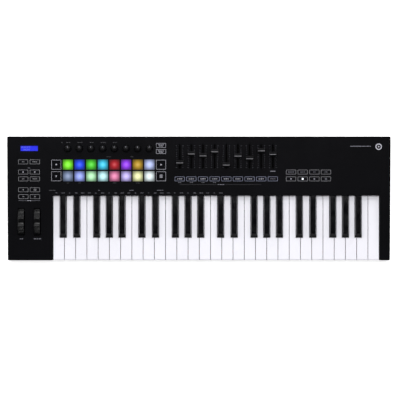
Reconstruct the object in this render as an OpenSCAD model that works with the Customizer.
// Keyboard controller with 49 keys: a sloping control panel over a horizontal keybed.
// Units are millimetres. X runs from the bass end to the treble end, Y from the player to the rear,
// Z up. The origin is on the table, under the middle of the case.

/* [Case] */
// Width of the control panel to the left of the keys
left_panel_w = 93; // [91:0.5:100]
// Width of the cheek to the right of the keys
right_cheek_w = 21.55; // [20:0.05:30]
// Depth of the case, front to rear
case_d = 256; // [256:1:262]
// Height of the panel's front edge above the table
front_h = 42; // [42:0.5:44]
// Height of the panel's rear edge above the table
rear_h = 62; // [60:0.5:64]
// Wall thickness of the case mouldings
wall = 2.6; // [2.4:0.1:2.8]
// Height of the line where the two case halves meet
parting_h = 24; // [23.5:0.1:24.5]
// Radius of the case's upright corners
corner_r = 2.5; // [1:0.5:6]
// Radius of the cheeks' corners beside the keys' fronts
cheek_r = 3.5; // [1:0.5:6]

/* [Keys] */
// Distance from one white key to the next
key_pitch = 23.25; // [23:0.05:23.6]
// Gap between neighbouring white keys
key_gap = 1.2; // [0.8:0.1:1.2]
// Height of the white keys' tops above the table
white_top = 41; // [40.5:0.1:41]
// Height of the black keys' tops above the table
black_top = 52; // [50:0.5:52.5]
// Width of a black key at its base
black_w = 13.8; // [12.4:0.1:14]

/* [Controls] */
// Pitch of the grid that pads, knobs, faders and buttons share
grid = 24; // [23.8:0.1:24.2]
// Side of a pad
pad_size = 20.5; // [19.5:0.1:20.8]
// Width of a button
button_w = 20.6; // [19:0.1:20.8]
// Height of a button across the panel
button_h = 10; // [9:0.1:10.6]
// Length of the faders' travel
fader_travel = 45; // [40:1:45]
// Radius of the pitch and modulation wheels
wheel_r = 29; // [28:0.25:29.5]
// Height of a knob above the panel
knob_h = 17.5; // [15:0.5:19]

/* [Hidden] */
$fn = 48;

// Keybed
octaves = 4;
white_count = 7 * octaves + 1;
octave_w = 7 * key_pitch;
semitone_w = octave_w / 12;
keybed_w = white_count * key_pitch + key_gap;

// Case
case_w = left_panel_w + keybed_w + right_cheek_w;
front_y = -case_d / 2;
rear_y = case_d / 2;
tilt = atan((rear_h - front_h) / case_d);
edge_chamfer = 1.2;
foot_h = 3;
floor_t = 2.5;
floor_top = foot_h + floor_t;
seam = 0.6;
bed_left = left_panel_w - case_w / 2;
bed_right = bed_left + keybed_w;
bed_rear = 6.3;
fallboard_bottom = 42.5;
front_wall_top = 12.5;

// Keys, whose pivot lies behind the fallboard
keys_left = bed_left + key_gap / 2;
key_front = front_y + 0.5;
black_front = -80;
head_rear = black_front - 1.2;
key_rear = 10;
cavity_rear = 2;
pivot = [62, 32];
tail_rear = 72;
tail_w = 8.6;
tail_bottom = 27;
tail_top = 37;
lever_z = [29, 36];
plunger_half = [2.5, 2];
pivot_r = 1.5;
notch = black_w / 2 + 0.8;
lip_bottom = 24;
skirt_bottom = 30;
key_wall = 1.8;
key_plate = 2.2;
black_top_w = 10.2;
black_slope = 8.5;
black_roof = black_top - 6;
plunger_y = -18;
plunger_bottom = 23;
black_offset = [-2.4, 2.4, -3, 0, 3];
black_boundary = [1, 2, 4, 5, 6];
white_degree = [0, undef, 1, undef, 2, 3, undef, 4, undef, 5, undef, 6];
black_degree = [undef, 0, undef, 1, undef, undef, 2, undef, 3, undef, 4, undef];

// Chassis under the keys
chassis_bottom = 10;
chassis_top = 12.4;
chassis_front = front_y + 8;
chassis_rear = 80;
rib_t = 2.4;
rib_top = 33.5;
notch_half = pivot_r + 0.3;
shelf_top = 17.8;
felt_top = 20.3;
board_t = 1.6;
contact_board_y = [-32, -4];
contact_board_bottom = 13.4;
dome_top = 18.4;
spring_y = 69;
spring_r = 2.2;

// Panel layout: u from the case's left edge, v from its front edge along the slope, w above the panel
display_at = [45.5, 231.8];
window_size = [44, 18];
window_t = 1.3;
glass_size = [37, 11];
module_size = [50, 24];
module_top_w = -2.8;
column_u = 32.8;
wheel_u = [28.3, 61.3];
wheel_v = 80;
pad_u = 125;
knob_v = 232.4;
pad_v = [198.4, 174.4];
fader_u = 355.5;
fader_v = 214.9;
transport_u = 585;
row_v = [204.2, 183.2, 169, 146.5, 132.3];
device_v = [238.1, 225.5];
fader_rest = [0.23, 0.64, 0.55, 0.74, 0.13, 0.54, 0.42, 0.78, 0.62];
left_buttons = [for (v = row_v) for (i = [0, 1]) [column_u + grid * i, v]];
side_buttons = [for (v = pad_v) for (u = [pad_u - grid, pad_u + 8 * grid]) [u, v]];
device_buttons = [for (v = device_v) [pad_u + 8 * grid, v]];
fader_button_row = [for (i = [0:8]) [fader_u + grid * i, row_v[2]]];
transport_button_rows = [for (v = [row_v[1], row_v[2]]) for (i = [0:3]) [transport_u + grid * i, v]];

// Boards and the left keymat: [u0, v0, u1, v1]
control_board_area = [90, 150, 672, 243];
left_board_area = [12, 118, 84, 243];
left_mat_area = [20, 126.5, 70, 210];

// Heights under the panel's surface
board_top_w = -10;
board_bottom_w = board_top_w - board_t;
button_gap = 0.4;
button_top_w = 0.9;
button_travel = 1.2;
pad_top_w = 1.5;
pad_gap = 0.5;
web_t = 0.8;

// Controls
wheel_w = 12.5;
wheel_depth = 12.2;
wheel_slot = [14.6, 57];
trunnion_r = 3;
shaft_r = 3;
knob_hole_r = 4.6;
fader_slot = [4.2, fader_travel + 6];
fader_cap = [15.3, 9.6];
lever = [1.2, 5];
lever_top_w = 7;
slide_pot = [8.6, 56, 6.8];
wheel_notch_r = 9;
wheel_notch_out = 5.5;
wheel_rim_r = 21;
wheel_hub_r = 6;
trunnion_l = 27;
bracket_top = 41;
bracket_half = [10, 33];

// Sockets in the rear wall
jack_board_bottom = 26;
jack_board_top = jack_board_bottom + board_t;
jack_x = -340;
jack_bore_r = 3.25;
jack_h = 12;
midi_x = -310;
midi_size = 19;
usb_x = -280;
usb_size = [12, 11];
usb_mouth = [8.6, 7.9];
lock_x = -250;
lock_z = 34;
lock_slot = [7, 3];
socket_gap = 0.3;

// Fasteners: one screw size throughout
screw_r = 1.4;
screw_hole_r = screw_r + 0.35;
screw_l = 8;
screw_head_r = 2.8;
screw_head_h = 2;
boss_r = 3.6;
case_boss_top = 8.5;
case_screws = [
    for (x = [12, 80]) [x - case_w / 2, front_y + 12],
    for (y = [front_y + 12, 0]) [case_w / 2 - 11, y],
    for (x = [-case_w / 2 + 11, -200, 0, 200, case_w / 2 - 11]) [x, rear_y - 8]
];
chassis_screws = [for (x = [-270, -90, 90, 330]) for (y = [-88, 40]) [x, y]];
bracket_screws = [for (side = [-1, 1]) [-350, wheel_centre()[0] + 39 * side]];
control_board_screws = [for (u = [94, 342, 564, 668]) for (v = [154, 239]) [u, v]];
left_board_screws = [for (u = [16, 80]) for (v = [122, 214]) [u, v]];
jack_board_screws = [[-355, 96], [-262, 96]];
foot_places = [
    for (x = [26 - case_w / 2, 0, case_w / 2 - 26]) for (y = [front_y + 24, rear_y - 24]) [x, y]
];

// Colours
shell_black = [0.07, 0.07, 0.075];
satin_black = [0.12, 0.12, 0.125];
key_white = [0.93, 0.93, 0.94];
board_green = [0.05, 0.22, 0.12];
steel = [0.62, 0.63, 0.65];

function panel_z(y) = front_h + (y - front_y) * tan(tilt);
function unit(v) = v / norm(v);
function arc_point(centre, from, to, r, t) = centre + r * unit(from * (1 - t) + to * t);
function fillet(a, b, c, r, n) =
    let (
        into = unit(a - b),
        out = unit(c - b),
        half = acos(into * out) / 2,
        centre = b + unit(into + out) * r / sin(half),
        reach = r / tan(half),
        from = unit(b + into * reach - centre),
        to = unit(b + out * reach - centre)
    )
    [for (i = [0:n]) arc_point(centre, from, to, r, i / n)];
// A polygon's points with corner i rounded to radii[i], or left sharp at 0
function round_corners(points, radii, n = 4) =
    let (count = len(points))
    [
        for (i = [0:count - 1])
            each radii[i] > 0
                ? fillet(points[(i + count - 1) % count], points[i], points[(i + 1) % count], radii[i], n)
                : [points[i]]
    ];
function mean(pair) = (pair[0] + pair[1]) / 2;
// Outline of an area given as [u0, v0, u1, v1]
function span(a) = [[a[0], a[1]], [a[2], a[1]], [a[2], a[3]], [a[0], a[3]]];
function rectangle(w, h) = [[-w, -h], [w, -h], [w, h], [-w, h]] / 2;
function rounded_rect(size, r, n = 3) = round_corners(rectangle(size[0], size[1]), [r, r, r, r], n);

// Extrudes a profile of [y, z] points along X
module along_x(x0, x1) {
    translate([x0, 0, 0]) rotate([90, 0, 90]) linear_extrude(x1 - x0) children();
}

module box(low, high) {
    translate(low) cube(high - low);
}

// Places children in the panel's own axes, w upwards from its surface
module on_panel(at = [0, 0]) {
    translate([-case_w / 2, front_y, front_h]) rotate([tilt, 0, 0]) translate([at[0], at[1], 0]) children();
}

// A prism over a panel outline, from w0 up to w1
module panel_prism(at, points, w0, w1) {
    on_panel(at) translate([0, 0, w0]) linear_extrude(w1 - w0) polygon(points);
}

// ---------------------------------------------------------------- case

module case_side(bottom) {
    polygon([
        [front_y, bottom],
        [front_y, front_h - edge_chamfer],
        [front_y + edge_chamfer, panel_z(front_y + edge_chamfer)],
        [rear_y - edge_chamfer, panel_z(rear_y - edge_chamfer)],
        [rear_y, rear_h - edge_chamfer],
        [rear_y, bottom]
    ]);
}

module case_side_inner(bottom) {
    under = wall / cos(tilt);
    polygon([
        [front_y + wall, bottom],
        [front_y + wall, panel_z(front_y + wall) - under],
        [rear_y - wall, panel_z(rear_y - wall) - under],
        [rear_y - wall, bottom]
    ]);
}

// Plan of the top case: a panel across the rear with a cheek down each side, pulled in by inset
module case_plan(inset, r, cheek) {
    points = [
        [-case_w / 2 + inset, front_y + inset],
        [bed_left - inset, front_y + inset],
        [bed_left - inset, bed_rear + inset],
        [bed_right + inset, bed_rear + inset],
        [bed_right + inset, front_y + inset],
        [case_w / 2 - inset, front_y + inset],
        [case_w / 2 - inset, rear_y - inset],
        [-case_w / 2 + inset, rear_y - inset]
    ];
    polygon(round_corners(points, [r, cheek, 0, 0, cheek, r, r, r]));
}

module panel_openings() {
    deep = -2 * wall;
    for (at = concat(left_buttons, device_buttons, fader_button_row, transport_button_rows))
        panel_prism(at, rounded_rect([button_w, button_h] + [1, 1] * 2 * button_gap, 1.2, 2), deep, 1);
    for (at = side_buttons)
        panel_prism(at, rounded_rect([1, 1] * (pad_size + 2 * button_gap), 1.2, 2), deep, 1);
    pad_hole = [1, 1] * (pad_size + 2 * pad_gap);
    for (v = pad_v) for (i = [0:7])
        panel_prism([pad_u + grid * i, v], rounded_rect(pad_hole, 1.4, 2), deep, 1);
    for (i = [0:7])
        on_panel([pad_u + grid * i, knob_v]) translate([0, 0, deep]) cylinder(r = knob_hole_r, h = 6);
    for (i = [0:8])
        panel_prism([fader_u + grid * i, fader_v], rounded_rect(fader_slot, 1.2, 2), deep, 1);
    for (u = wheel_u)
        panel_prism([u, wheel_v], rounded_rect(wheel_slot, 2.5, 3), deep, 1);
    panel_prism(display_at, rounded_rect(window_size + [0.2, 0.2], 1.5, 3), -window_t, 1);
    panel_prism(display_at, rectangle(glass_size[0] + 2, glass_size[1] + 2), deep, 1);
}

module rear_wall_openings() {
    out = rear_y + 1;
    in = rear_y - wall - 1;
    // [middle, width, height] of each socket
    sockets = [[jack_x, jack_h, jack_h], [midi_x, midi_size, midi_size], [usb_x, usb_size[0], usb_size[1]]];
    for (socket = sockets) {
        half = socket[1] / 2 + socket_gap;
        box([socket[0] - half, in, jack_board_top - socket_gap],
            [socket[0] + half, out, jack_board_top + socket[2] + socket_gap]);
    }
    translate([lock_x, out, lock_z]) rotate([90, 0, 0])
        linear_extrude(wall + 2) polygon(rounded_rect(lock_slot, 1.4));
}

module top_case() {
    color(shell_black) difference() {
        union() {
            difference() {
                intersection() {
                    along_x(-case_w, case_w) case_side(parting_h);
                    linear_extrude(100) case_plan(0, corner_r, cheek_r);
                }
                intersection() {
                    along_x(-case_w, case_w) case_side_inner(0);
                    linear_extrude(100) case_plan(wall, corner_r - wall / 2, cheek_r - wall / 2);
                }
            }
            for (at = case_screws)
                translate([at[0], at[1], case_boss_top])
                    cylinder(r = boss_r, h = panel_z(at[1]) - case_boss_top - 1.5);
            for (at = concat(control_board_screws, left_board_screws))
                on_panel(at) translate([0, 0, board_top_w]) cylinder(r = 3, h = -board_top_w - 1.5);
        }
        box([bed_left, bed_rear - 1, 0], [bed_right, bed_rear + wall + 1, fallboard_bottom]);
        panel_openings();
        rear_wall_openings();
        for (at = case_screws)
            translate([at[0], at[1], case_boss_top - 1]) cylinder(r = screw_hole_r, h = 10);
        for (at = concat(control_board_screws, left_board_screws))
            on_panel(at) translate([0, 0, board_top_w - 1]) cylinder(r = screw_hole_r, h = 7.5);
    }
}

module bottom_side() {
    c = 2;
    polygon([
        [front_y + c, foot_h], [front_y, foot_h + c], [front_y, parting_h], [rear_y, parting_h],
        [rear_y, foot_h + c], [rear_y - c, foot_h]
    ]);
}

module ring_wall(outer_inset, thickness, z0, z1) {
    outer = [case_w, case_d] - [1, 1] * 2 * outer_inset;
    inner_r = corner_r - (outer_inset + thickness) / 2;
    translate([0, 0, z0]) difference() {
        linear_extrude(z1 - z0) polygon(rounded_rect(outer, corner_r - outer_inset / 2, 4));
        translate([0, 0, -1]) linear_extrude(z1 - z0 + 2)
            polygon(rounded_rect(outer - [2, 2] * thickness, inner_r, 4));
    }
}

module bottom_case() {
    color(shell_black) difference() {
        union() {
            intersection() {
                union() {
                    translate([0, 0, foot_h]) linear_extrude(floor_t)
                        polygon(rounded_rect([case_w, case_d], corner_r, 4));
                    ring_wall(0, wall, floor_top - 1, parting_h - seam);
                }
                along_x(-case_w, case_w) bottom_side();
            }
            // The tongue that locates the top case
            ring_wall(wall + 0.2, 1.2, floor_top - 0.5, parting_h + 2);
            for (at = case_screws)
                translate([at[0], at[1], foot_h]) cylinder(r = 5, h = case_boss_top - foot_h);
            for (at = concat(chassis_screws, bracket_screws))
                translate([at[0], at[1], foot_h + 1]) cylinder(r = boss_r, h = chassis_bottom - foot_h - 1);
            for (at = jack_board_screws)
                translate([at[0], at[1], foot_h + 1])
                    cylinder(r = boss_r, h = jack_board_bottom - foot_h - 1);
            for (x = [-225, -75, 75, 225])
                box([x - 1, -60, floor_top - 1], [x + 1, 20, chassis_bottom]);
        }
        // The keys' front lips pass over a low front wall
        box([bed_left, front_y - 1, front_wall_top], [bed_right, front_y + 2 * wall, parting_h + 3]);
        // The tongue stops short of the top case's cheeks
        box([bed_left - wall - 0.5, front_y - 1, parting_h - seam],
            [bed_right + wall + 0.5, front_y + 2 * wall, parting_h + 3]);
        for (at = case_screws) {
            translate([at[0], at[1], 0]) cylinder(r = screw_head_r + 0.9, h = 6.5);
            translate([at[0], at[1], 0]) cylinder(r = screw_hole_r, h = 10);
        }
        for (at = concat(chassis_screws, bracket_screws))
            translate([at[0], at[1], chassis_top - screw_l]) cylinder(r = screw_hole_r, h = 10);
        for (at = jack_board_screws)
            translate([at[0], at[1], jack_board_top - screw_l]) cylinder(r = screw_hole_r, h = 12);
    }
}

module rubber_feet() {
    color(satin_black) for (at = foot_places)
        translate([at[0], at[1], 0]) rotate_extrude()
            polygon([[0, 0], [8, 0], [9, 1], [9, foot_h], [0, foot_h]]);
}

module screw() {
    cylinder(r = screw_r, h = screw_l);
    translate([0, 0, -screw_head_h]) difference() {
        cylinder(r = screw_head_r, h = screw_head_h);
        for (a = [0, 90]) rotate(a) translate([-1.6, -0.35, -1]) cube([3.2, 0.7, 2]);
    }
}

module screws() {
    color(steel) {
        for (at = case_screws) translate([at[0], at[1], 6.5]) screw();
        for (at = concat(chassis_screws, bracket_screws))
            translate([at[0], at[1], chassis_top]) mirror([0, 0, 1]) screw();
        for (at = jack_board_screws) translate([at[0], at[1], jack_board_top]) mirror([0, 0, 1]) screw();
        for (at = concat(control_board_screws, left_board_screws))
            on_panel(at) translate([0, 0, board_bottom_w]) screw();
    }
}

// ---------------------------------------------------------------- keybed

function octave_x(octave) = keys_left + octave * octave_w;
function black_x(octave, d) = octave_x(octave) + black_boundary[d] * key_pitch + black_offset[d];
function tail_x(octave, p) = octave_x(octave) + (p + 0.5) * semitone_w;
// Index of the black key that stands on boundary b of an octave's white keys, or undef
function black_on(b) = let (found = search(b, black_boundary)) len(found) > 0 ? found[0] : undef;
function white_left(octave, d) = octave_x(octave) + d * key_pitch + key_gap / 2;
function white_right(octave, d) = octave_x(octave) + (d + 1) * key_pitch - key_gap / 2;
function neck_left(octave, d) =
    let (b = black_on(d)) is_undef(b) ? white_left(octave, d) : black_x(octave, b) + notch;
function neck_right(octave, d) =
    let (b = black_on(d + 1))
    is_undef(b) || octave == octaves ? white_right(octave, d) : black_x(octave, b) - notch;

// Rear lever of every key, with the bore that the pivot rod runs through
module key_tail(octave, p, plunger_top) {
    x = tail_x(octave, p);
    half = tail_w / 2;
    difference() {
        union() {
            box([x - half, cavity_rear, lever_z[0]], [x + half, pivot[0] - 5, lever_z[1]]);
            box([x - half, pivot[0] - 6, tail_bottom], [x + half, tail_rear, tail_top]);
            box([x - plunger_half[0], plunger_y - plunger_half[1], plunger_bottom],
                [x + plunger_half[0], plunger_y + plunger_half[1], plunger_top]);
        }
        translate([x - half - 1, pivot[0], pivot[1]]) rotate([0, 90, 0])
            cylinder(r = pivot_r + 0.25, h = tail_w + 2);
    }
}

module white_side() {
    polygon(round_corners([
        [key_front, lip_bottom],
        [key_front + 3, lip_bottom],
        [key_front + 6, skirt_bottom],
        [key_rear, skirt_bottom],
        [key_rear, white_top],
        [key_front, white_top]
    ], [0, 0, 0, 0, 0, 2.2], 5));
}

module white_key(octave, p) {
    d = white_degree[p];
    head = [white_left(octave, d), white_right(octave, d)];
    neck = [neck_left(octave, d), neck_right(octave, d)];
    plate_bottom = white_top - key_plate;
    difference() {
        intersection() {
            union() {
                box([head[0], key_front - 1, 0], [head[1], head_rear, 60]);
                box([neck[0], head_rear - 1, 0], [neck[1], key_rear + 1, 60]);
            }
            along_x(head[0] - 1, head[1] + 1) white_side();
        }
        box([head[0] + key_wall, key_front + 2.4, 0],
            [head[1] - key_wall, head_rear - key_wall, plate_bottom]);
        box([neck[0] + key_wall, head_rear - 10, 0], [neck[1] - key_wall, cavity_rear, plate_bottom]);
    }
    key_tail(octave, p, white_top - 1);
}

module black_side() {
    shoulder = white_top - 0.2;
    rear = bed_rear - 0.8;
    polygon(round_corners([
        [black_front, skirt_bottom],
        [key_rear, skirt_bottom],
        [key_rear, shoulder],
        [rear, shoulder],
        [rear, black_top],
        [black_front + black_slope, black_top],
        [black_front, white_top + 2]
    ], [0, 0, 0, 0, 0, 3, 0.8], 4));
}

module black_section() {
    half = black_w / 2;
    top = black_top_w / 2;
    polygon(round_corners([
        [-half, skirt_bottom], [half, skirt_bottom], [half, white_top + 2],
        [top, black_top], [-top, black_top], [-half, white_top + 2]
    ], [0, 0, 0, 1.2, 1.2, 0], 3));
}

module black_key(octave, p) {
    x = black_x(octave, black_degree[p]);
    inside = black_w / 2 - key_wall;
    difference() {
        intersection() {
            along_x(x - black_w, x + black_w) black_side();
            translate([x, key_rear + 1, 0]) rotate([90, 0, 0])
                linear_extrude(key_rear + 2 - black_front) black_section();
        }
        box([x - inside, black_front + 4, 0], [x + inside, cavity_rear, black_roof]);
    }
    key_tail(octave, p, black_roof + 1);
}

// All keys of one pitch class, p semitones above C; the top C has no black neighbour
module keys(p) {
    if (is_undef(white_degree[p]))
        color(satin_black) for (octave = [0:octaves - 1]) black_key(octave, p);
    else
        color(key_white) for (octave = [0:octaves - (p == 0 ? 0 : 1)]) white_key(octave, p);
}

module chassis_section() {
    polygon([
        [chassis_front, chassis_bottom], [chassis_rear, chassis_bottom], [chassis_rear, 22],
        [chassis_rear - 2.4, 22], [chassis_rear - 2.4, chassis_top], [chassis_front + 14.5, chassis_top],
        [chassis_front + 14.5, shelf_top], [chassis_front + 2.4, shelf_top], [chassis_front + 2.4, 19.5],
        [chassis_front, 19.5]
    ]);
}

// A rib between two keys' tails, with the notch that the pivot rod lies in
module rib_section() {
    y = pivot[0];
    rod_under = pivot[1] - pivot_r;
    polygon([
        [y - 9, chassis_top - 1], [y + 12, chassis_top - 1], [y + 12, 24], [y + 5, rib_top],
        [y + notch_half, rib_top], [y + notch_half, rod_under], [y - notch_half, rod_under],
        [y - notch_half, rib_top], [y - 5, rib_top]
    ]);
}

module keybed_chassis() {
    color(satin_black) difference() {
        union() {
            along_x(bed_left + 0.8, bed_right - 0.8) chassis_section();
            for (k = [0:12 * octaves + 1]) {
                x = keys_left + k * semitone_w;
                along_x(x - rib_t / 2 + (k == 0 ? 1 : 0), x + rib_t / 2) rib_section();
            }
            for (octave = [0:octaves]) for (p = [0:11]) if (octave < octaves || p == 0) {
                white = !is_undef(white_degree[p]);
                x = white
                    ? (white_left(octave, white_degree[p]) + white_right(octave, white_degree[p])) / 2
                    : black_x(octave, black_degree[p]);
                y = white ? head_rear - 18 : black_front + 18;
                box([x - 2, y - 3.5, chassis_top - 1], [x + 2, y + 3.5, white ? 28 : 34]);
            }
            for (y = contact_board_y)
                box([bed_left + 4, y - 1, chassis_top - 1], [bed_right - 4, y + 1, contact_board_bottom]);
        }
        // The shelf behind the front wall is open underneath
        box([bed_left, chassis_front + 2.4, 0], [bed_right, chassis_front + 12, 15.6]);
        for (at = chassis_screws)
            translate([at[0], at[1], 0]) cylinder(r = screw_hole_r, h = 20);
    }
}

module key_pivot_rod() {
    color(steel) translate([bed_left + 1, pivot[0], pivot[1]]) rotate([0, 90, 0])
        cylinder(r = pivot_r, h = keybed_w - 2);
}

// One spring behind each key's pivot, and the one that centres the pitch wheel
module return_springs() {
    color(steel) {
        for (k = [0:12 * octaves])
            translate([keys_left + (k + 0.5) * semitone_w, spring_y, chassis_top]) difference() {
                cylinder(r = spring_r, h = tail_bottom - chassis_top);
                translate([0, 0, 1]) cylinder(r = spring_r - 0.6, h = 30);
            }
        translate([wheel_u[0] - case_w / 2 - 8.8, wheel_centre()[0], wheel_centre()[1]]) rotate([0, 90, 0])
            difference() {
                cylinder(r = 5, h = 2.2);
                translate([0, 0, -1]) cylinder(r = trunnion_r + 0.6, h = 5);
            }
    }
}

module key_contact_board() {
    color(board_green)
        box([bed_left + 4, contact_board_y[0] - 1, contact_board_bottom],
            [bed_right - 4, contact_board_y[1] + 1, contact_board_bottom + board_t]);
}

module key_contact_domes() {
    base = contact_board_bottom + board_t;
    color([0.75, 0.75, 0.72]) {
        box([bed_left + 6, plunger_y - 6, base], [bed_right - 6, plunger_y + 6, base + 0.8]);
        for (k = [0:12 * octaves])
            translate([keys_left + (k + 0.5) * semitone_w, plunger_y, base + 0.4])
                cylinder(r = 3.4, h = dome_top - base - 0.4);
    }
}

module key_stop_felts() {
    color([0.45, 0.08, 0.1]) {
        box([bed_left + 2, chassis_front + 3, shelf_top], [bed_right - 2, chassis_front + 13.5, felt_top]);
        box([bed_left + 2, bed_rear + 0.3, white_top + 0.3],
            [bed_right - 2, bed_rear + 2.3, fallboard_bottom]);
    }
}

// ---------------------------------------------------------------- boards and sensors

module control_board() {
    color(board_green) difference() {
        panel_prism([0, 0], span(control_board_area), board_bottom_w, board_top_w);
        for (at = control_board_screws)
            on_panel(at) translate([0, 0, board_bottom_w - 1]) cylinder(r = screw_hole_r, h = 4);
    }
}

module left_panel_board() {
    color(board_green) difference() {
        panel_prism([0, 0], span(left_board_area), board_bottom_w, board_top_w);
        for (at = left_board_screws)
            on_panel(at) translate([0, 0, board_bottom_w - 1]) cylinder(r = screw_hole_r, h = 4);
    }
}

module jack_board() {
    color(board_green) difference() {
        box([-360, 92, jack_board_bottom], [-256, 122, jack_board_top]);
        for (at = jack_board_screws)
            translate([at[0], at[1], 0]) cylinder(r = screw_hole_r, h = 40);
    }
}

// One sheet of each keymat, lying on its board round the contacts
module button_mats() {
    web = [board_top_w, board_top_w + web_t];
    color([0.2, 0.2, 0.2]) {
        panel_prism([0, 0], span(left_mat_area), web[0], web[1]);
        for (u = [pad_u - grid, pad_u + 8 * grid])
            panel_prism([u, mean(pad_v)], rectangle(20, 46), web[0], web[1]);
        panel_prism([pad_u + 8 * grid, mean(device_v)], rectangle(20, 18), web[0], web[1]);
        panel_prism([fader_u + 4 * grid, row_v[2]], rectangle(9 * grid - 4, 11), web[0], web[1]);
        panel_prism([transport_u + 1.5 * grid, (row_v[1] + row_v[2]) / 2],
            rectangle(4 * grid - 4, 25), web[0], web[1]);
    }
}

module pad_sensor_sheet() {
    color([0.75, 0.55, 0.2])
        panel_prism([pad_u + 3.5 * grid, mean(pad_v)], rectangle(8 * grid - 2, 2 * grid - 2),
            board_top_w, board_top_w + 1.2);
}

module rotary_pot_shape() {
    difference() {
        union() {
            translate([-5.5, -5.5, 0]) cube([11, 11, 6.6]);
            cylinder(r = 3.9, h = 10.6);
        }
        translate([0, 0, 1]) cylinder(r = shaft_r + 0.25, h = 20);
    }
}

module rotary_pots() {
    color([0.16, 0.18, 0.2]) {
        for (i = [0:7])
            on_panel([pad_u + grid * i, knob_v]) translate([0, 0, board_top_w]) rotary_pot_shape();
        // The two wheel sensors, on the outside of the bracket's right-hand plates
        for (u = wheel_u)
            translate([u - case_w / 2 + 11.2, wheel_centre()[0], wheel_centre()[1]]) difference() {
                translate([0, -6, -6]) cube([5, 12, 12]);
                translate([-1, 0, 0]) rotate([0, 90, 0]) cylinder(r = trunnion_r + 0.25, h = 4);
            }
    }
}

module slide_pots() {
    color(steel) for (i = [0:8])
        on_panel([fader_u + grid * i, fader_v]) translate([0, 0, board_top_w]) difference() {
            translate(-slide_pot / 2 + [0, 0, slide_pot[2] / 2]) cube(slide_pot);
            translate([-1.3, -fader_travel / 2 - 3.5, 1.5]) cube([2.6, fader_travel + 7, 10]);
        }
}

module display_module() {
    color([0.15, 0.2, 0.75]) difference() {
        panel_prism(display_at, rectangle(module_size[0], module_size[1]), board_top_w, module_top_w);
        panel_prism(display_at, rectangle(glass_size[0], glass_size[1]), module_top_w - 0.5, 0);
    }
}

module display_window() {
    color([0.1, 0.1, 0.3, 0.5])
        panel_prism(display_at, rounded_rect(window_size, 1.4, 3), -window_t, 0);
}

module ribbon_cables() {
    left = -320;
    right = left + 12;
    low = contact_board_bottom + board_t + 0.1;
    front = contact_board_y[0] - 0.5;
    color([0.6, 0.6, 0.62]) {
        // Between the left and the control board
        panel_prism([87, 200], rectangle(34, 16), board_bottom_w - 0.8, board_bottom_w - 0.1);
        // From the jack board up to the left board
        box([-300, 104, jack_board_top + 0.1], [-284, 104.7, 46]);
        // From the contact board, under the left panel, up to the left board
        box([left, front, low], [bed_left + 9, front + 7.5, low + 0.6]);
        box([left, front, low], [right, 60, low + 0.6]);
        box([left, 59.3, low], [right, 60, 44.5]);
    }
}

// ---------------------------------------------------------------- sockets

module pedal_jack() {
    half = jack_h / 2;
    color(satin_black) difference() {
        box([jack_x - half, 98, jack_board_top], [jack_x + half, rear_y, jack_board_top + jack_h]);
        translate([jack_x, 100, jack_board_top + half]) rotate([-90, 0, 0])
            cylinder(r = jack_bore_r, h = 40);
    }
}

module midi_out_socket() {
    half = midi_size / 2;
    middle = jack_board_top + half;
    color(satin_black) difference() {
        box([midi_x - half, 110, jack_board_top], [midi_x + half, rear_y, jack_board_top + midi_size]);
        translate([midi_x, rear_y + 1, middle]) rotate([90, 0, 0]) difference() {
            cylinder(r = 7.4, h = 9);
            translate([0, 0, -1]) cylinder(r = 6.4, h = 11);
        }
        for (a = [0:45:180])
            translate([midi_x + 4.4 * cos(a), rear_y + 1, middle + 4.4 * sin(a) - 1]) rotate([90, 0, 0])
                cylinder(r = 0.9, h = 8);
    }
}

module usb_socket() {
    half = usb_size / 2;
    mouth = usb_mouth / 2;
    middle = jack_board_top + half[1];
    color(steel) {
        difference() {
            box([usb_x - half[0], 112, jack_board_top],
                [usb_x + half[0], rear_y, jack_board_top + usb_size[1]]);
            box([usb_x - mouth[0], 114, middle - mouth[1]],
                [usb_x + mouth[0], rear_y + 1, middle + mouth[1]]);
        }
        box([usb_x - 2.8, 113, middle - 1.6], [usb_x + 2.8, rear_y - 5, middle + 1.6]);
    }
}

// ---------------------------------------------------------------- wheels

// [y, z] of the wheels' axle
function wheel_centre() =
    [
        front_y + wheel_v * cos(tilt) + wheel_depth * sin(tilt),
        front_h + wheel_v * sin(tilt) - wheel_depth * cos(tilt)
    ];

module wheel(u) {
    c = wheel_centre();
    color(satin_black) translate([u - case_w / 2, c[0], c[1]]) rotate([tilt, 0, 0]) rotate([0, 90, 0]) {
        difference() {
            union() {
                translate([0, 0, -wheel_w / 2]) cylinder(r = wheel_r, h = wheel_w, $fn = 96);
                translate([0, 0, -trunnion_l / 2]) cylinder(r = trunnion_r, h = trunnion_l);
            }
            // Finger notch, at the top of the wheel in its rest position
            translate([-wheel_r - wheel_notch_out, 0, -wheel_w])
                cylinder(r = wheel_notch_r, h = 2 * wheel_w);
            for (side = [-1, 1]) translate([0, 0, side * (wheel_w / 2 - 1) - 2]) difference() {
                cylinder(r = wheel_rim_r, h = 4);
                translate([0, 0, -1]) cylinder(r = wheel_hub_r, h = 6);
            }
        }
    }
}

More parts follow.
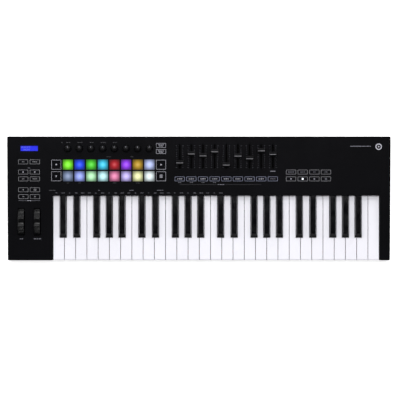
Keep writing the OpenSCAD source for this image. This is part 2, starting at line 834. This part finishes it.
// A plate each side of each wheel, end walls, and a screwed foot at the front and the rear
module wheel_bracket() {
    c = wheel_centre();
    half = bracket_half[0];
    y = [c[0] - bracket_half[1], c[0] + bracket_half[1]];
    z = [chassis_bottom, bracket_top];
    between = [wheel_u[0] + half, wheel_u[1] - half] - [1, 1] * case_w / 2;
    color([0.2, 0.2, 0.21]) difference() {
        union() {
            for (u = wheel_u) {
                x = u - case_w / 2;
                for (plate = [x - half, x + half])
                    box([plate - 1, y[0], z[0]], [plate + 1, y[1], z[1]]);
                for (end = y) box([x - half - 1, end - 1, z[0]], [x + half + 1, end + 1, z[1]]);
            }
            for (end = y) box([between[0], end - 1, z[0]], [between[1], end + 1, z[1] - 8]);
            for (at = bracket_screws)
                box([at[0] - 8, min(at[1] - 6, y[1]), z[0]],
                    [at[0] + 8, max(at[1] + 6, y[0]), chassis_top]);
        }
        for (u = wheel_u) translate([u - case_w / 2 - 12, c[0], c[1]]) rotate([0, 90, 0])
            cylinder(r = trunnion_r + 0.25, h = 24);
        for (at = bracket_screws) translate([at[0], at[1], 0]) cylinder(r = screw_hole_r, h = 20);
    }
}

// ---------------------------------------------------------------- pads, buttons, knobs, faders

// The pads are one silicone moulding, joined under the panel by a thin web
module pads() {
    color([0.8, 0.8, 0.85]) {
        for (v = pad_v) for (i = [0:7])
            panel_prism([pad_u + grid * i, v], rounded_rect([1, 1] * pad_size, 1.2, 3), -6, pad_top_w);
        panel_prism([pad_u + 3.5 * grid, mean(pad_v)], rectangle(8 * grid - 1, 2 * grid - 1), -5.4, -4.2);
    }
}

module button(at, size) {
    panel_prism(at, rounded_rect(size, 1, 3), -7.9, button_top_w);
    panel_prism(at, rectangle(size[0] + 2, size[1] + 2), -4.2, -3.1);
}

module buttons(places, size) {
    color(satin_black) for (at = places) button(at, size);
}

module knob(i) {
    skirt = 1;
    color(satin_black) on_panel([pad_u + grid * i, knob_v]) {
        difference() {
            rotate_extrude() polygon([
                [0, 12.5], [shaft_r + 0.05, 12.5], [shaft_r + 0.05, 3], [6.2, 3], [6.4, skirt],
                [7.7, skirt], [7.6, 3.6], [6.7, 5.2], [5.9, knob_h - 0.7], [5.2, knob_h], [0, knob_h]
            ]);
            translate([-0.7, 1.2, knob_h - 0.5]) cube([1.4, 8, 2]);
        }
        translate([0, 0, board_top_w + 1.2]) cylinder(r = shaft_r, h = 11.2 - board_top_w);
    }
}

module fader(i) {
    v = fader_v + (fader_rest[i] - 0.5) * fader_travel;
    half = fader_cap[1] / 2;
    color(satin_black) on_panel([fader_u + grid * i, v]) {
        difference() {
            translate([-fader_cap[0] / 2, 0, 0]) rotate([90, 0, 90]) linear_extrude(fader_cap[0]) polygon([
                [-half, 2.2], [half, 2.2], [half, 4.4], [half - 1.6, 8.6], [1.6, 11.8],
                [-1.6, 11.8], [1.6 - half, 8.6], [-half, 4.4]
            ]);
            translate([-lever[0] / 2 - 0.05, -lever[1] / 2 - 0.05, 0])
                cube([lever[0] + 0.1, lever[1] + 0.1, lever_top_w + 0.1]);
        }
        translate([-lever[0] / 2, -lever[1] / 2, board_top_w + 2.2])
            cube([lever[0], lever[1], lever_top_w - board_top_w - 2.2]);
    }
}

top_case();
bottom_case();
keybed_chassis();
key_pivot_rod();
return_springs();
key_contact_board();
key_contact_domes();
key_stop_felts();
control_board();
left_panel_board();
jack_board();
button_mats();
pad_sensor_sheet();
rotary_pots();
slide_pots();
display_module();
display_window();
wheel_bracket();
usb_socket();
midi_out_socket();
pedal_jack();
rubber_feet();
screws();
ribbon_cables();
wheel(wheel_u[0]);  // pitch_wheel
wheel(wheel_u[1]);  // mod_wheel
pads();
buttons(left_buttons, [button_w, button_h]);  // left_panel_buttons
union() {  // pad_section_buttons
    buttons(side_buttons, [pad_size, pad_size]);
    buttons(device_buttons, [button_w, button_h]);
}
buttons(fader_button_row, [button_w, button_h]);  // fader_buttons
buttons(transport_button_rows, [button_w, button_h]);  // transport_buttons
keys(0);  // keys_c
keys(1);  // keys_c_sharp
keys(2);  // keys_d
keys(3);  // keys_d_sharp
keys(4);  // keys_e
keys(5);  // keys_f
keys(6);  // keys_f_sharp
keys(7);  // keys_g
keys(8);  // keys_g_sharp
keys(9);  // keys_a
keys(10);  // keys_a_sharp
keys(11);  // keys_b
knob(0);  // knob_1
knob(1);  // knob_2
knob(2);  // knob_3
knob(3);  // knob_4
knob(4);  // knob_5
knob(5);  // knob_6
knob(6);  // knob_7
knob(7);  // knob_8
fader(0);  // fader_1
fader(1);  // fader_2
fader(2);  // fader_3
fader(3);  // fader_4
fader(4);  // fader_5
fader(5);  // fader_6
fader(6);  // fader_7
fader(7);  // fader_8
fader(8);  // fader_9
